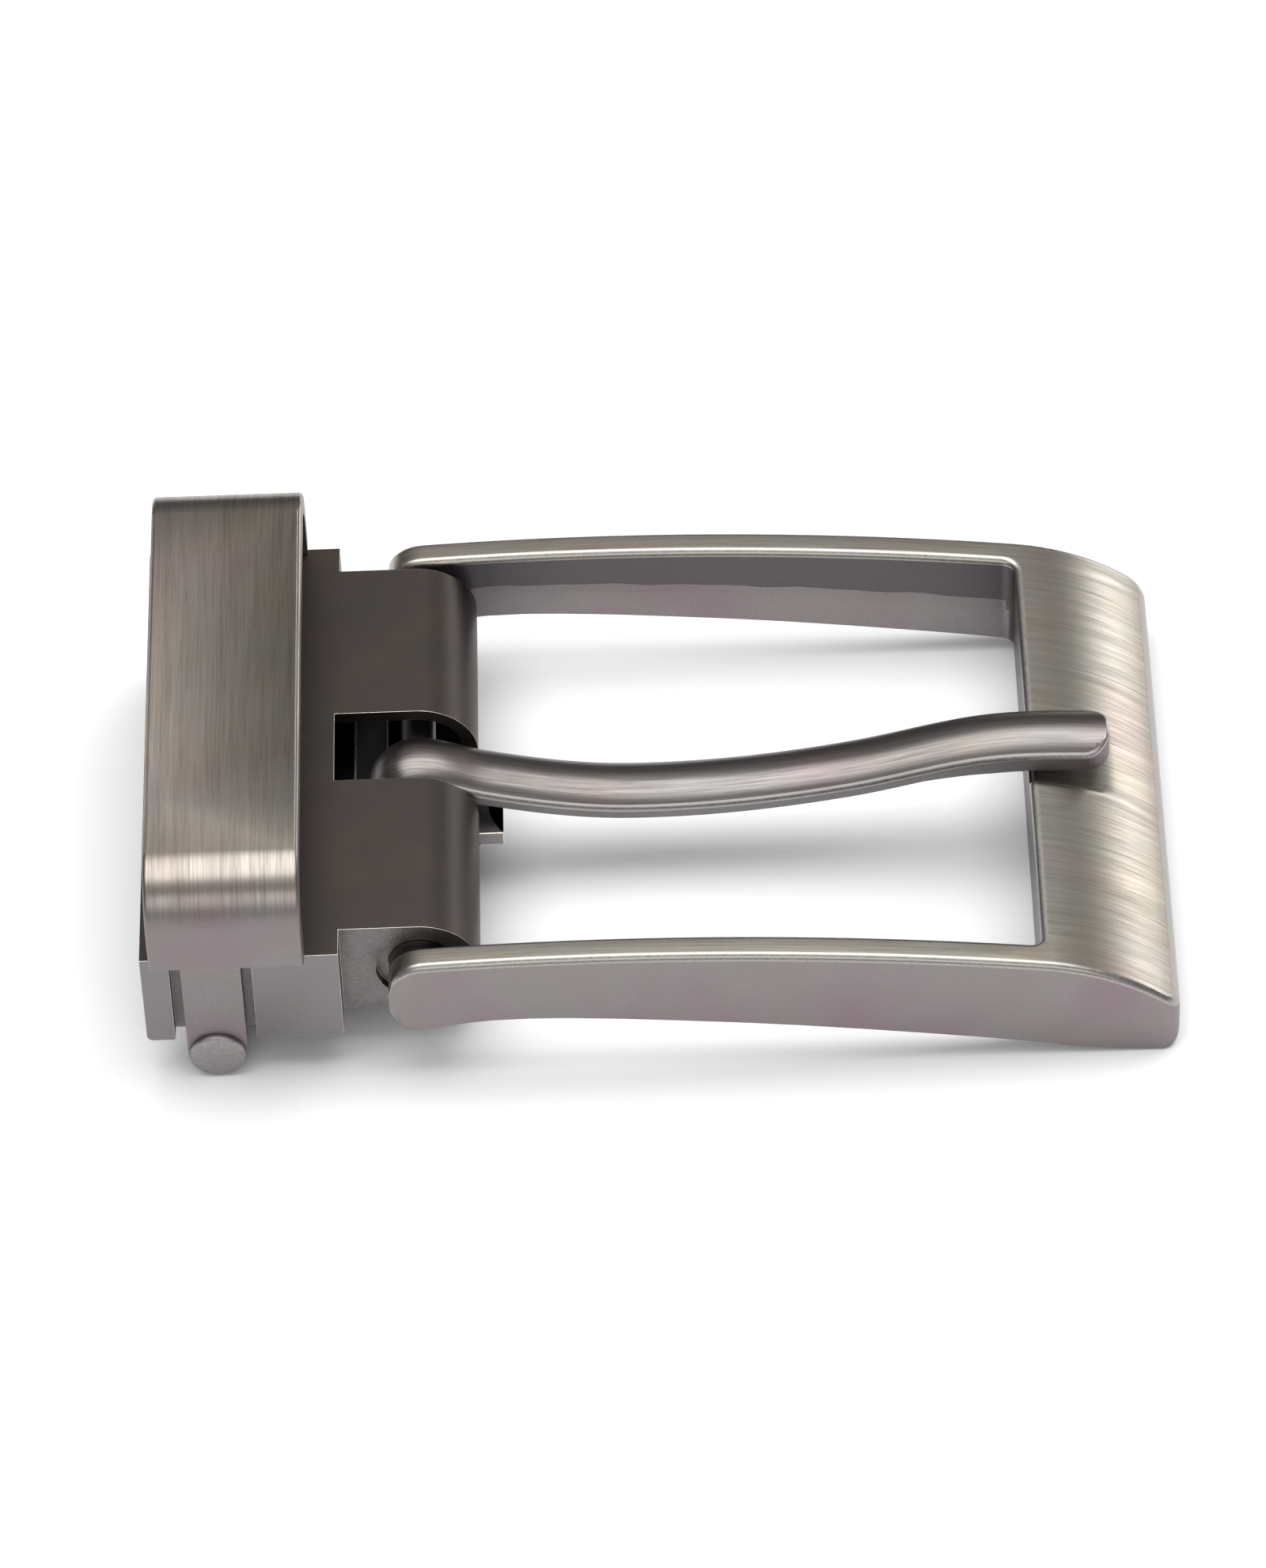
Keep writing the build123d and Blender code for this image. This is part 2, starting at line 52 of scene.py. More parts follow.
# ---- Camera ----
# A long lens looks down at the buckle's near side from about 47 degrees, rolled a little.
camera_data = bpy.data.cameras.new("camera")
camera_data.sensor_width = 36.0
camera_data.lens = 188.94
camera = bpy.data.objects.new("camera", camera_data)
look_from = Vector((0.002629, -0.401287, 0.437304))
camera_right = Vector((0.999376, -0.020342, -0.028873))
camera_up = Vector((0.034568, 0.731085, 0.681410))
camera_turn = Matrix((camera_right, camera_up, camera_right.cross(camera_up))).transposed()
camera.matrix_world = Matrix.Translation(look_from) @ camera_turn.to_4x4()
bpy.context.scene.collection.objects.link(camera)
bpy.context.scene.camera = camera


# ---- Room, lights and table ----
# A grey room, dark along its back wall, with softboxes overhead, low at the right and in front.
# The table is plain white card.
def add_node(tree, kind, sockets=None, **settings):
    """Adds a shader node, sets its sockets, and links any socket whose value is another's output."""
    made = tree.nodes.new("ShaderNode" + kind)
    for setting, value in settings.items():
        setattr(made, setting, value)
    for socket, value in (sockets or {}).items():
        if isinstance(value, bpy.types.NodeSocket):
            tree.links.new(value, made.inputs[socket])
        else:
            made.inputs[socket].default_value = value
    return made


def add_ramp(tree, source, stops):
    """Adds a colour ramp with grey or coloured stops, given as (position, colour)."""
    made = add_node(tree, "ValToRGB", {"Fac": source})
    ramp = made.color_ramp
    while len(ramp.elements) < len(stops):
        ramp.elements.new(1.0)
    for element, (position, colour) in zip(ramp.elements, stops):
        element.position = position
        element.color = (*colour, 1.0) if isinstance(colour, tuple) else (colour, colour, colour, 1.0)
    return made.outputs["Color"]


bpy.context.scene.view_settings.view_transform = "Standard"
world = bpy.data.worlds.new("grey_room")
world.use_nodes = True
bpy.context.scene.world = world
room = world.node_tree
aim = add_node(room, "SeparateXYZ", {0: add_node(room, "TexCoord").outputs["Generated"]})
back_wall = add_ramp(
    room, aim.outputs["Z"], [(0.0, 0.10), (0.2, 0.13), (0.62, 0.34), (0.80, 0.60), (1.0, 0.9)]
)
front_wall = add_ramp(room, aim.outputs["Z"], [(0.0, 0.30), (0.45, 0.26), (0.80, 0.42), (1.0, 0.9)])
toward_back = add_node(room, "MapRange", {"Value": aim.outputs["Y"], "From Min": -0.35, "From Max": 0.35})
walls = add_node(
    room, "Mix", {"Factor": toward_back.outputs[0], 6: front_wall, 7: back_wall}, data_type="RGBA"
)
room.links.new(walls.outputs[2], room.nodes["Background"].inputs["Color"])


def add_softbox(name, place, target, width, height, power):
    """Adds a soft rectangular light that faces its target."""
    data = bpy.data.lights.new(name, "AREA")
    data.shape = "RECTANGLE"
    data.size = width
    data.size_y = height
    data.energy = power
    light = bpy.data.objects.new(name, data)
    aim_at = (Vector(target) - Vector(place)).to_track_quat("-Z", "Y")
    light.matrix_world = Matrix.Translation(Vector(place)) @ aim_at.to_matrix().to_4x4()
    bpy.context.scene.collection.objects.link(light)


add_softbox("overhead_softbox", (-0.02, 0.07, 0.60), (0, 0, 0), 0.80, 0.50, 4.0)
add_softbox("right_softbox", (0.46, 0.38, 0.14), (0, 0, 0), 0.36, 0.16, 0.9)

add_softbox("front_softbox", (0.05, -0.62, 0.40), (0, 0, 0), 0.90, 0.30, 1.5)

TABLE_RADIUS = 0.30
table_mesh = bpy.data.meshes.new("table")
table_bm = bmesh.new()
bmesh.ops.create_circle(table_bm, cap_ends=True, segments=96, radius=TABLE_RADIUS)
table_bm.to_mesh(table_mesh)
table_bm.free()
table = bpy.data.objects.new("table", table_mesh)
bpy.context.scene.collection.objects.link(table)
white_card = bpy.data.materials.new("white_card")
white_card.use_nodes = True
card_shader = white_card.node_tree.nodes["Principled BSDF"]
card_shader.inputs["Base Color"].default_value = (0.93, 0.93, 0.93, 1.0)
card_shader.inputs["Roughness"].default_value = 0.9
card_shader.inputs["Specular IOR Level"].default_value = 0.1
table_mesh.materials.append(white_card)


# ---- Housing shell ----
# The clamp's body: a plate curled into a round nose, with side tabs, cheeks and rod lugs, one
# zinc casting. Dark gunmetal plating, satin on the plate, sandy on the cheeks, rubbed bright
# along every edge, with a painted highlight laid on those edges as well.
def shader_group(name, inputs, outputs):
    """Starts a shader node group and returns its tree, its input node and its output node."""
    tree = bpy.data.node_groups.new(name, "ShaderNodeTree")
    for socket, kind, value in inputs:
        made = tree.interface.new_socket(socket, in_out="INPUT", socket_type="NodeSocket" + kind)
        if value is not None:
            made.default_value = value
    for socket, kind in outputs:
        tree.interface.new_socket(socket, in_out="OUTPUT", socket_type="NodeSocket" + kind)
    return tree, tree.nodes.new("NodeGroupInput"), tree.nodes.new("NodeGroupOutput")


def use_group(tree, group, sockets):
    """Places a node group in a material and sets or links its inputs."""
    made = tree.nodes.new("ShaderNodeGroup")
    made.node_tree = group
    for socket, value in sockets.items():
        if isinstance(value, bpy.types.NodeSocket):
            tree.links.new(value, made.inputs[socket])
        else:
            made.inputs[socket].default_value = value
    return made


# Cast grain: fine pits and swells of a blasted or as-cast surface.
cast_grain, grain_in, grain_out = shader_group(
    "cast_grain",
    [("Vector", "Vector", None), ("Per Metre", "Float", 6000.0)],
    [("Grain", "Float")],
)
fine = add_node(
    cast_grain,
    "TexNoise",
    {
        "Vector": grain_in.outputs["Vector"],
        "Scale": grain_in.outputs["Per Metre"],
        "Detail": 3.0,
        "Roughness": 0.65,
    },
)
cast_grain.links.new(fine.outputs["Fac"], grain_out.inputs["Grain"])

# Plating tint: faint warm and rosy clouds in the plating.
plating_tint, tint_in, tint_out = shader_group(
    "plating_tint",
    [
        ("Vector", "Vector", None),
        ("Plating", "Color", (0.3, 0.3, 0.3, 1.0)),
        ("Warm", "Color", (0.3, 0.28, 0.24, 1.0)),
        ("Rose", "Color", (0.3, 0.26, 0.27, 1.0)),
        ("Amount", "Float", 0.5),
    ],
    [("Color", "Color")],
)
warm_cloud = add_node(
    plating_tint, "TexNoise", {"Vector": tint_in.outputs["Vector"], "Scale": 190.0, "Detail": 2.0}
)
rose_shift = add_node(
    plating_tint, "VectorMath", {0: tint_in.outputs["Vector"], 1: (0.031, 0.017, 0.023)}, operation="ADD"
)
rose_cloud = add_node(
    plating_tint, "TexNoise", {"Vector": rose_shift.outputs[0], "Scale": 130.0, "Detail": 1.0}
)
warm_amount = add_node(
    plating_tint,
    "MapRange",
    {
        "Value": warm_cloud.outputs["Fac"],
        "From Min": 0.45,
        "From Max": 0.7,
        "To Max": tint_in.outputs["Amount"],
    },
)
rose_amount = add_node(
    plating_tint,
    "MapRange",
    {
        "Value": rose_cloud.outputs["Fac"],
        "From Min": 0.5,
        "From Max": 0.72,
        "To Max": tint_in.outputs["Amount"],
    },
)
warmed = add_node(
    plating_tint,
    "Mix",
    {0: warm_amount.outputs[0], 6: tint_in.outputs["Plating"], 7: tint_in.outputs["Warm"]},
    data_type="RGBA",
)
rosed = add_node(
    plating_tint,
    "Mix",
    {0: rose_amount.outputs[0], 6: warmed.outputs[2], 7: tint_in.outputs["Rose"]},
    data_type="RGBA",
)
plating_tint.links.new(rosed.outputs[2], tint_out.inputs["Color"])


def start_metal(name):
    """Starts a metal material and returns it with its tree, its shader and the object coordinates."""
    material = bpy.data.materials.new(name)
    material.use_nodes = True
    tree = material.node_tree
    shader = tree.nodes["Principled BSDF"]
    shader.inputs["Metallic"].default_value = 1.0
    return material, tree, shader, add_node(tree, "TexCoord").outputs["Object"]


TINT_AMOUNT = 0.7
ROUGHNESS_SPREAD = 0.05


def satin_metal(name, plating, warm, rose, roughness, grain_size, grain_depth, mottle=0.12):
    """A blasted or satin plated finish: even grain, faint tints, a soft broad highlight."""
    material, tree, shader, place = start_metal(name)
    tint = use_group(
        tree,
        plating_tint,
        {
            "Vector": place,
            "Plating": (*plating, 1.0),
            "Warm": (*warm, 1.0),
            "Rose": (*rose, 1.0),
            "Amount": TINT_AMOUNT,
        },
    )
    grain = use_group(tree, cast_grain, {"Vector": place, "Per Metre": 1.0 / grain_size})
    shade = add_node(
        tree,
        "MapRange",
        {
            "Value": grain.outputs[0],
            "From Min": 0.3,
            "From Max": 0.7,
            "To Min": 1 - mottle,
            "To Max": 1 + mottle,
        },
    )
    colour = add_node(tree, "Mix", {0: 1.0, 6: tint.outputs[0]}, data_type="RGBA", blend_type="MULTIPLY")
    tree.links.new(shade.outputs[0], colour.inputs[7])
    rough = add_node(
        tree,
        "MapRange",
        {
            "Value": grain.outputs[0],
            "From Min": 0.3,
            "From Max": 0.7,
            "To Min": roughness - ROUGHNESS_SPREAD,
            "To Max": roughness + ROUGHNESS_SPREAD,
        },
    )
    bump = add_node(tree, "Bump", {"Strength": 1.0, "Distance": grain_depth, "Height": grain.outputs[0]})
    tree.links.new(colour.outputs[2], shader.inputs["Base Color"])
    tree.links.new(rough.outputs[0], shader.inputs["Roughness"])
    tree.links.new(bump.outputs[0], shader.inputs["Normal"])
    return material


SHARP_EDGE = radians(38)


def copy_of_node(node, body, rim_width, rim_segments, finishes):
    """Copies a CAD node as clean faces, rounds its sharp edges and hangs it on its body."""
    mesh = frame["nodes"][node].data.copy()
    mesh.name = node + "_finished"
    mesh.materials.clear()
    for finish in finishes:
        mesh.materials.append(finish)
    bm = bmesh.new()
    bm.from_mesh(mesh)
    bmesh.ops.remove_doubles(bm, verts=bm.verts, dist=0.002 * MM)
    bmesh.ops.dissolve_limit(bm, angle_limit=radians(1.5), verts=bm.verts, edges=bm.edges)
    bm.to_mesh(mesh)
    bm.free()
    mesh.shade_smooth()
    mesh.set_sharp_from_angle(angle=SHARP_EDGE)
    piece = bpy.data.objects.new(node + "_finished", mesh)
    bpy.context.scene.collection.objects.link(piece)
    rim = piece.modifiers.new("rounded_edges", "BEVEL")
    rim.width = rim_width
    rim.segments = rim_segments
    rim.limit_method = "ANGLE"
    rim.angle_limit = SHARP_EDGE
    rim.harden_normals = True
    # The rounded edges take the last finish, a lighter edge colour that is partly wear and partly a
    # painted highlight.
    rim.material = len(finishes) - 1
    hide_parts(node)
    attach(piece, body)
    return piece


plate_satin = satin_metal(
    "plate_satin",
    (0.060, 0.052, 0.048),
    (0.072, 0.058, 0.048),
    (0.063, 0.050, 0.050),
    0.46,
    0.10 * MM,
    0.004 * MM,
)
tab_blasted = satin_metal(
    "tab_blasted",
    (0.24, 0.225, 0.23),
    (0.25, 0.235, 0.225),
    (0.25, 0.215, 0.225),
    0.52,
    0.12 * MM,
    0.006 * MM,
)
cheek_sand = satin_metal(
    "cheek_sand",
    (0.21, 0.20, 0.20),
    (0.22, 0.20, 0.19),
    (0.21, 0.19, 0.19),
    0.5,
    0.22 * MM,
    0.03 * MM,
    0.2,
)
# Light edge colour for the housing's and flap's rounded edges: plating rubbed through, plus a painted
# highlight.
rubbed_edge_highlight = satin_metal(
    "rubbed_edge_highlight",
    (0.86, 0.80, 0.74),
    (0.86, 0.80, 0.72),
    (0.84, 0.77, 0.73),
    0.42,
    0.2 * MM,
    0.004 * MM,
    0.25,
)
housing = copy_of_node(
    "housing_shell",
    "housing",
    0.15 * MM,
    2,
    [plate_satin, tab_blasted, cheek_sand, rubbed_edge_highlight],
)


def paint_faces(mesh, choose):
    """Gives each face the finish number that choose(face) returns."""
    for face in mesh.polygons:
        face.material_index = choose(face)


CHEEK_STEP = 2.34 * MM
TAB_SKIN = 0.2 * MM
CHEEK_DEPTH = 1.0 * MM
tab_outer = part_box("housing_shell")[1].y
cheek_outer = tab_outer - CHEEK_STEP


def housing_finish(face):
    """Satin on the plate and nose, blasted on the tabs, sandy on the cheeks."""
    out = abs(face.center.y)
    if abs(face.normal.y) > 0.9 and out > tab_outer - TAB_SKIN:
        return 1
    if abs(face.normal.z) < 0.5 and cheek_outer - CHEEK_DEPTH < out < tab_outer - TAB_SKIN:
        return 2
    return 0


paint_faces(housing.data, housing_finish)


# ---- Keeper loop ----
# The band that the strap's end passes through: pressed from strip, bent over at both sides and
# brushed crosswise, with two narrow legs that hook over its rod.
brush_lines, brush_in, brush_out = shader_group(
    "brush_lines",
    [("Vector", "Vector", None), ("Scale", "Vector", (300.0, 6000.0, 6000.0))],
    [("Lines", "Float")],
)
drift = add_node(
    brush_lines, "TexNoise", {"Vector": brush_in.outputs["Vector"], "Scale": 90.0, "Detail": 1.0}
)
drift_small = add_node(
    brush_lines,
    "VectorMath",
    {0: drift.outputs["Color"], 1: (0.0004, 0.0004, 0.0004)},
    operation="MULTIPLY",
)
bent = add_node(
    brush_lines, "VectorMath", {0: brush_in.outputs["Vector"], 1: drift_small.outputs[0]}, operation="ADD"
)
stretched = add_node(
    brush_lines, "VectorMath", {0: bent.outputs[0], 1: brush_in.outputs["Scale"]}, operation="MULTIPLY"
)
fine_lines = add_node(
    brush_lines,
    "TexNoise",
    {"Vector": stretched.outputs[0], "Scale": 1.0, "Detail": 4.0, "Roughness": 0.7},
)
broad_lines = add_node(
    brush_lines,
    "TexNoise",
    {"Vector": stretched.outputs[0], "Scale": 0.22, "Detail": 2.0, "Roughness": 0.6},
)
both_lines = add_node(
    brush_lines,
    "Mix",
    {0: 0.3, 2: fine_lines.outputs["Fac"], 3: broad_lines.outputs["Fac"]},
    data_type="FLOAT",
)
brush_lines.links.new(both_lines.outputs[0], brush_out.inputs["Lines"])


LINE_CONTRAST = 0.45
WALL_GRAIN = 0.11 * MM
WALL_ROUGHNESS = 0.48


def brushed_metal(name, line_scale, plating, wall_plating, roughness, line_depth=0.006 * MM):
    """Plating brushed on the faces that look up, blasted on the walls, with a soft change at the bend."""
    material, tree, shader, place = start_metal(name)
    facing = add_node(tree, "Attribute", attribute_name="facing")
    up = add_node(tree, "SeparateXYZ", {0: facing.outputs["Vector"]})
    on_top = add_node(tree, "MapRange", {"Value": up.outputs["Z"], "From Min": 0.25, "From Max": 0.75})
    lines = use_group(tree, brush_lines, {"Vector": place, "Scale": line_scale})
    grain = use_group(tree, cast_grain, {"Vector": place, "Per Metre": 1.0 / WALL_GRAIN})
    top_tint = use_group(
        tree,
        plating_tint,
        {
            "Vector": place,
            "Plating": (*plating, 1.0),
            "Warm": (plating[0] * 1.05, plating[1] * 0.98, plating[2] * 0.90, 1.0),
            "Rose": (plating[0] * 1.06, plating[1] * 0.93, plating[2] * 0.94, 1.0),
            "Amount": 0.8,
        },
    )
    wall_tint = use_group(
        tree,
        plating_tint,
        {
            "Vector": place,
            "Plating": (*wall_plating, 1.0),
            "Warm": (wall_plating[0], wall_plating[1] * 0.98, wall_plating[2] * 0.94, 1.0),
            "Rose": (wall_plating[0] * 0.98, wall_plating[1] * 0.84, wall_plating[2] * 0.90, 1.0),
            "Amount": 0.9,
        },
    )
    line_shade = add_node(
        tree,
        "MapRange",
        {
            "Value": lines.outputs["Lines"],
            "From Min": 0.3,
            "From Max": 0.7,
            "To Min": 1 - LINE_CONTRAST,
            "To Max": 1 + LINE_CONTRAST,
        },
    )
    grain_shade = add_node(
        tree,
        "MapRange",
        {"Value": grain.outputs[0], "From Min": 0.3, "From Max": 0.7, "To Min": 0.9, "To Max": 1.1},
    )
    colour = add_node(
        tree,
        "Mix",
        {0: on_top.outputs[0], 6: wall_tint.outputs[0], 7: top_tint.outputs[0]},
        data_type="RGBA",
    )
    shade = add_node(
        tree,
        "Mix",
        {0: on_top.outputs[0], 2: grain_shade.outputs[0], 3: line_shade.outputs[0]},
        data_type="FLOAT",
    )
    shaded = add_node(
        tree, "Mix", {0: 1.0, 6: colour.outputs[2]}, data_type="RGBA", blend_type="MULTIPLY"
    )
    tree.links.new(shade.outputs[0], shaded.inputs[7])
    rough_lines = add_node(
        tree,
        "MapRange",
        {
            "Value": lines.outputs["Lines"],
            "From Min": 0.3,
            "From Max": 0.7,
            "To Min": roughness + 0.06,
            "To Max": roughness - 0.06,
        },
    )
    rough = add_node(
        tree,
        "Mix",
        {0: on_top.outputs[0], 2: WALL_ROUGHNESS, 3: rough_lines.outputs[0]},
        data_type="FLOAT",
    )
    height = add_node(
        tree,
        "Mix",
        {0: on_top.outputs[0], 2: grain.outputs[0], 3: lines.outputs["Lines"]},
        data_type="FLOAT",
    )
    bump = add_node(tree, "Bump", {"Strength": 1.0, "Distance": line_depth, "Height": height.outputs[0]})
    tree.links.new(shaded.outputs[2], shader.inputs["Base Color"])
    tree.links.new(rough.outputs[0], shader.inputs["Roughness"])
    tree.links.new(bump.outputs[0], shader.inputs["Normal"])
    return material


def note_facing(mesh):
    """Stores which way each face corner looks, for finishes that differ between top and walls."""
    facing = mesh.attributes.new("facing", "FLOAT_VECTOR", "CORNER")
    for corner, normal in enumerate(mesh.corner_normals):
        facing.data[corner].vector = normal.vector


LINE = 1.0 / (0.14 * MM)
ALONG = 1.0 / (6.0 * MM)
keeper_brushed = brushed_metal(
    "keeper_brushed", (LINE, ALONG, ALONG), (0.235, 0.213, 0.190), (0.250, 0.232, 0.232), 0.30
)
# Lighter colour on the keeper's rounded edges: buffing plus a painted highlight.
keeper_rim_highlight = satin_metal(
    "keeper_rim_highlight", (0.34, 0.325, 0.30), (0.36, 0.33, 0.29), (0.34, 0.31, 0.30), 0.34, 0.2 * MM, 0.003 * MM
)
keeper = copy_of_node(
    "keeper_loop", "housing", 0.10 * MM, 2, [keeper_brushed, keeper_rim_highlight]
)
note_facing(keeper.data)


# ---- Keeper rod ----
# Steel pin through both legs, the lugs and the flap's knuckle, with flat riveted heads.
def turned_piece(name, centre, profile, steps, finish):
    """Spins a profile of (radius, place along Y) pairs round a crosswise axis."""
    bm = bmesh.new()
    row = [bm.verts.new((centre.x, place, centre.z + radius)) for radius, place in profile]
    edges = [bm.edges.new(pair) for pair in zip(row, row[1:])]
    bmesh.ops.spin(
        bm, geom=row + edges, cent=centre, axis=(0, 1, 0), angle=2 * pi, steps=steps, use_merge=True
    )
    bmesh.ops.remove_doubles(bm, verts=bm.verts, dist=0.001 * MM)
    bmesh.ops.recalc_face_normals(bm, faces=bm.faces)
    mesh = bpy.data.meshes.new(name)
    bm.to_mesh(mesh)
    bm.free()
    mesh.shade_smooth()
    mesh.set_sharp_from_angle(angle=radians(35))
    mesh.materials.append(finish)
    piece = bpy.data.objects.new(name, mesh)
    bpy.context.scene.collection.objects.link(piece)
    return piece


pin_satin = satin_metal(
    "pin_satin",
    (0.30, 0.285, 0.285),
    (0.32, 0.30, 0.28),
    (0.31, 0.27, 0.28),
    0.40,
    0.3 * MM,
    0.02 * MM,
    0.15,
)
rod_low, rod_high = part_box("keeper_rod")
rod_centre = Vector(((rod_low.x + rod_high.x) / 2, 0, (rod_low.z + rod_high.z) / 2))
HEAD_RADIUS = (rod_high.x - rod_low.x) / 2
SHANK_RADIUS = 1.1 * MM
NECK_DROP = 0.49 * MM
# Side of a head as (share of its radius, drop below its face in mm).
head_side = [
    (0.0, 0.0),
    (0.40, 0.01),
    (0.70, 0.035),
    (0.86, 0.075),
    (0.94, 0.13),
    (0.985, 0.20),
    (1.0, 0.29),
    (1.0, 0.48),
]
head_points = [(share * HEAD_RADIUS, rod_high.y - drop * MM) for share, drop in head_side]
neck = (SHANK_RADIUS, rod_high.y - NECK_DROP)
right_half = head_points + [neck]
left_half = [(radius, -place) for radius, place in reversed(right_half)]
keeper_rod = turned_piece("riveted_keeper_rod", rod_centre, right_half + left_half, 64, pin_satin)
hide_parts("keeper_rod")
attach(keeper_rod, "housing")


# ---- Buckle frame ----
# Two arched arms and a sloping end bar, one zinc casting. Its top is brushed lengthwise and its
# rims are buffed, with a painted highlight on them; the inner walls above the uneven step of the
# mould's parting, and the bar's wall facing the window, carry painted shade.
hinge = Vector(frame["joints"][0]["pos_m"])
frame_low, frame_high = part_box("buckle_frame")
HALF_WIDTH = frame_high.y
REACH = frame_high.x - hinge.x
REAR = hinge.x - frame_low.x
ARM_WIDTH = 2.15 * MM
BAR_LENGTH = 9.7 * MM
WINDOW_X = REACH - BAR_LENGTH
INNER_Y = HALF_WIDTH - ARM_WIDTH
CREST_HEIGHT = 4.0 * MM
CREST_X = 12.0 * MM
ARM_ARCH = 216.0 * MM
BAR_ARCH = 17.0 * MM
RIM = 0.5 * MM
UNDER_RIM = 0.3 * MM
OUTER_CORNER = 1.2 * MM
WINDOW_CORNER = 0.8 * MM
ARM_END_START = 0.6 * MM
ARM_END_DROP = 2.6 * MM
SEAT_DEPTH = 0.52 * MM
SEAT_SLOPE = 0.236
SEAT_HALF = 3.15 * MM
SEAT_EDGE = 0.45 * MM
PARTING_STEP = 0.24 * MM
PARTING_START = 4.0 * MM

# Levels of the flat blank, which is shaped first and then moved to the arched heights.
TOP_LEVEL = 0.0
PARTING_HIGH = -2.0 * MM
PARTING_LOW = -3.0 * MM
BOTTOM_LEVEL = -5.0 * MM
HIGH_SHARE = 0.52
LOW_SHARE = 0.60


def between(points, x):
    """Height at x on the straight runs between (x, height) points."""
    for (x0, z0), (x1, z1) in zip(points, points[1:]):
        if x <= x1:
            share = max(0.0, (x - x0) / (x1 - x0))
            return z0 + (z1 - z0) * share
    return points[-1][1]


def arm_top(x):
    """Height of the arched top over the hinge axis."""
    return CREST_HEIGHT - (x - CREST_X) ** 2 / (2 * ARM_ARCH)


def frame_top(x, y):
    """Height of the frame's top, with the rounded arm ends and the tongue's seat in the bar."""
    if x < ARM_END_START:
        share = (ARM_END_START - x) / (ARM_END_START + REAR)
        return arm_top(ARM_END_START) - ARM_END_DROP * (1 - sqrt(max(0.0, 1 - share**2)))
    if x <= WINDOW_X:
        return arm_top(x)
    slope = (WINDOW_X - CREST_X) / ARM_ARCH
    centre_x = WINDOW_X - BAR_ARCH * slope
    centre_z = arm_top(WINDOW_X) - BAR_ARCH * sqrt(1 - slope**2)
    top = centre_z + sqrt(BAR_ARCH**2 - (x - centre_x) ** 2)
    seat_floor = arm_top(WINDOW_X) - SEAT_DEPTH - SEAT_SLOPE * (x - WINDOW_X)
    side = min(1.0, max(0.0, (SEAT_HALF - abs(y)) / SEAT_EDGE))
    return top - side * max(0.0, top - seat_floor)


# Underside of the arms and the bar as (x, height) from the hinge axis in mm.
underside = [
    (-1.95, -1.0), (-1.85, -1.7), (-1.6, -2.25), (-1.2, -2.6), (-0.8, -2.85), (-0.4, -2.96), (0.5, -2.9),
    (1.8, -2.68), (3.2, -2.45), (5.0, -2.26), (7.5, -2.2), (10.0, -2.28), (14.0, -2.55), (18.0, -2.93),
    (22.6, -3.4), (27.0, -3.93), (31.4, -4.55), (36.0, -5.25), (40.0, -5.9), (43.5, -6.53), (46.5, -7.12),
    (49.0, -7.46), (51.0, -7.58), (52.2, -7.6), (52.6, -7.52), (52.9, -7.3), (53.1, -7.02), (53.2, -6.6),
]
underside = [(x * MM, z * MM) for x, z in underside]

bm = bmesh.new()
outline = [
    (-REAR, -HALF_WIDTH),
    (REACH, -HALF_WIDTH),
    (REACH, HALF_WIDTH),
    (-REAR, HALF_WIDTH),
    (-REAR, INNER_Y),
    (WINDOW_X, INNER_Y),
    (WINDOW_X, -INNER_Y),
    (-REAR, -INNER_Y),
]
corners = [bm.verts.new((x, y, TOP_LEVEL)) for x, y in outline]
bm.faces.new(corners)
for picked, radius in ((corners[1:3], OUTER_CORNER), (corners[5:7], WINDOW_CORNER)):
    bmesh.ops.bevel(
        bm, geom=picked, offset=radius, segments=5, profile=0.5, affect="VERTICES", material=-1
    )


def lower_levels(bm, levels):
    """Extrudes the flat outline down through the levels, keeping the outline as the top."""
    cap = list(bm.faces)
    for number, level in enumerate(levels):
        made = bmesh.ops.extrude_face_region(bm, geom=cap, use_keep_orig=True)["geom"]
        for vert in (v for v in made if isinstance(v, bmesh.types.BMVert)):
            vert.co.z = level
        if number > 0:
            bmesh.ops.delete(bm, geom=cap, context="FACES_ONLY")
        cap = [f for f in made if isinstance(f, bmesh.types.BMFace)]


def round_rim(bm, level, width, segments):
    """Rounds every edge that lies in one level and returns the new faces."""
    rim = [e for e in bm.edges if all(abs(v.co.z - level) < 0.001 * MM for v in e.verts)]
    return bmesh.ops.bevel(
        bm, geom=rim, offset=width, segments=segments, profile=0.5, affect="EDGES", material=-1
    )["faces"]


def slice_at(bm, stations, direction):
    """Cuts the whole shape at each station along a direction."""
    for station in stations:
        bmesh.ops.bisect_plane(
            bm,
            geom=bm.verts[:] + bm.edges[:] + bm.faces[:],
            dist=0.0005 * MM,
            plane_co=Vector(direction) * station,
            plane_no=direction,
        )


lower_levels(bm, (PARTING_HIGH, PARTING_LOW, BOTTOM_LEVEL))
# The top rims take the lighter rim finish, which paints a highlight along them.
for face in round_rim(bm, TOP_LEVEL, RIM, 4):
    face.material_index = 1
round_rim(bm, BOTTOM_LEVEL, UNDER_RIM, 2)
end_steps = [-1.85, -1.7, -1.5, -1.2, -0.8, -0.4, 0.1, 0.6, 1.2, 1.8, 2.5, 3.2, 4.0, 5.0]
end_steps = [x * MM for x in end_steps]
ARM_CUTS = 28
arm_span = WINDOW_X - end_steps[-1] - 1.0 * MM
arm_steps = [end_steps[-1] + step * arm_span / ARM_CUTS for step in range(1, ARM_CUTS + 1)]
bar_steps = [WINDOW_X + step * 0.7 * MM for step in range(1, 13)]
heel_steps = [x * MM for x in (52.3, 52.6, 52.85, 53.05)]
slice_at(bm, end_steps + arm_steps + bar_steps + heel_steps, (1, 0, 0))
seat_steps = [y * MM for y in (0.0, 1.3, 2.6, 2.75, 2.9, 3.05, 3.2, 3.6)]
